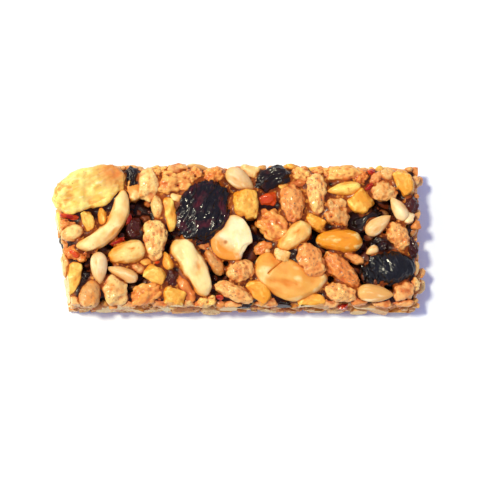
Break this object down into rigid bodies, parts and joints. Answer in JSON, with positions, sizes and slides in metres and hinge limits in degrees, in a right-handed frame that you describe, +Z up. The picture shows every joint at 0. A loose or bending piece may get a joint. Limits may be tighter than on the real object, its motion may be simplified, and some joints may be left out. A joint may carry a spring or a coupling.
{
  "type": "granola bar",
  "caption": "Oblong granola bar of nuts, seeds, grain crisps and dried fruit bound with syrup, flat underneath and cut square, eaten as a snack.",
  "frame": {"origin": "middle of the flat underside", "axes": "+X along the bar, +Y across it, +Z up out of the top with the large pieces"},
  "size_m": [0.105, 0.04, 0.0169],
  "materials": {
    "bound_mix": "seeds, crisps and fruit bound in a clear amber syrup, glossy in the hollows",
    "banana": "dried banana, dry and slightly rough, brown flecks",
    "cashew": "toasted cashew under a thin glaze",
    "peanut": "roast peanut under a thin glaze",
    "pale_nut": "smooth cream-coloured split nut with a browned hollow",
    "roast_nut": "broken roast nut under a thin glaze",
    "sunflower_seed": "hulled sunflower seed, smooth and waxy",
    "yellow_kernel": "yellow kernel, smooth",
    "crisp": "orange-brown grain crisp, granular with dark flecks",
    "puffed_grain": "pale puffed grain, bumpy",
    "cranberry": "dried dark red fruit, wrinkled and glossy",
    "raisin": "raisin, wrinkled and glossy",
    "blueberry": "dried blue-black fruit, wrinkled and glossy"
  },
  "bodies": {
    "root": {"banana_chip": "banana", "blueberry_right": "blueberry", "cashew_crescent": "cashew", "cashew_large": "cashew", "cashew_long": "cashew", "cluster_lower_left": "crisp", "cluster_middle": "crisp", "cluster_top": "crisp", "cluster_upper_left": "crisp", "cluster_upper_right": "crisp", "cranberry_large": "cranberry", "crisp_left": "crisp", "crisp_long": "crisp", "crisp_low": "crisp", "crisp_middle": "crisp", "crisp_on_cashew": "crisp", "crisp_right": "crisp", "crisp_round": "crisp", "crisp_square": "crisp", "crisp_tall": "crisp", "dice_low": "roast_nut", "dice_right": "roast_nut", "flake_right": "puffed_grain", "kernel_crescent": "yellow_kernel", "kernel_right": "yellow_kernel", "kernel_wedge": "yellow_kernel", "nut_cube": "roast_nut", "peanut_left": "peanut", "peanut_middle": "peanut", "peanut_orange": "peanut", "puff_column": "puffed_grain", "puff_corner": "puffed_grain", "puff_grey": "puffed_grain", "puff_lower_left": "puffed_grain", "puff_upper_left": "puffed_grain", "raisin_right": "raisin", "raisin_top": "raisin", "raisin_upper_left": "raisin", "seed_left": "sunflower_seed", "seed_low_right": "sunflower_seed", "seed_lower_left": "sunflower_seed", "seed_right": "sunflower_seed", "seed_top": "sunflower_seed", "seed_upper_right": "sunflower_seed", "slab": "bound_mix", "split_nut": "pale_nut", "wedge_corner": "roast_nut"}
  },
  "joints": []
}
